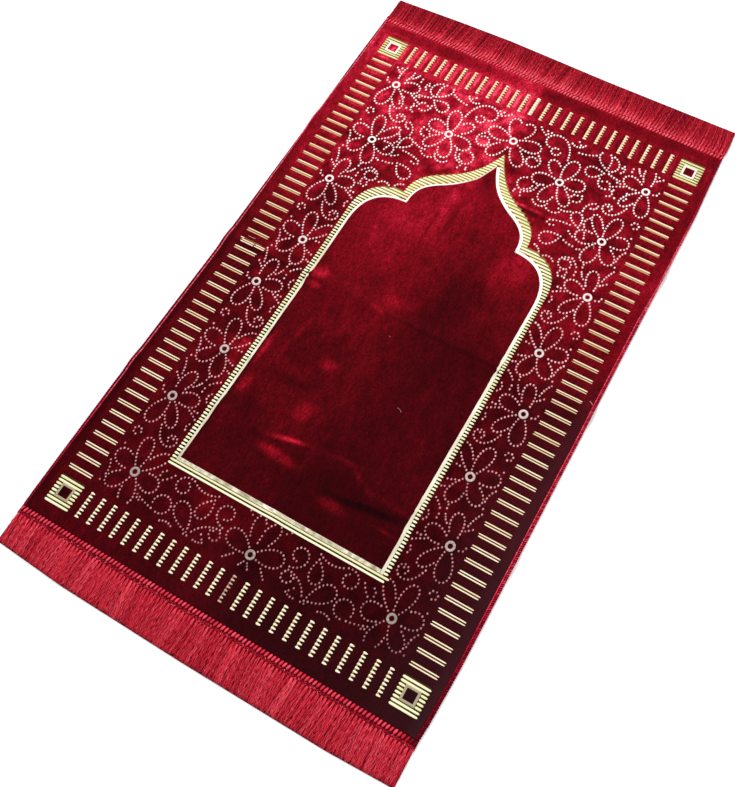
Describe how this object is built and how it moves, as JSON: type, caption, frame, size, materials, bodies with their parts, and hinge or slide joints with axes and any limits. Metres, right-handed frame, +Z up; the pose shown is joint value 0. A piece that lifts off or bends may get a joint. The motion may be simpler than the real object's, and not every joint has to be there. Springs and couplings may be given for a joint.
{
  "type": "prayer rug",
  "caption": "Flat velvet prayer rug with soft fold creases, bound long edges and a combed fringe on a stitched heading at both ends.",
  "frame": {"origin": "middle of the rug's outline, fringes included, on the floor that it lies on", "axes": "+X across the rug, +Y along it towards the point of its arch, +Z up from the floor through the pile"},
  "size_m": [0.6929, 1.271, 0.0076],
  "materials": {
    "velvet": "dark maroon pile with a strong sheen and crush marks",
    "overlock": "pinkish red overlock thread, fine slanting stitches",
    "fringe_yarn": "glossy red yarn, combed straight",
    "gold_thread": "pale gold metallic thread in straight floats",
    "silver_thread": "dull silver-white thread, small dots, rings and an inner line"
  },
  "bodies": {
    "root": {"velvet_panel": "velvet", "binding_left": "overlock", "binding_right": "overlock", "fringe_near": "fringe_yarn", "fringe_far": "fringe_yarn"}
  },
  "joints": []
}
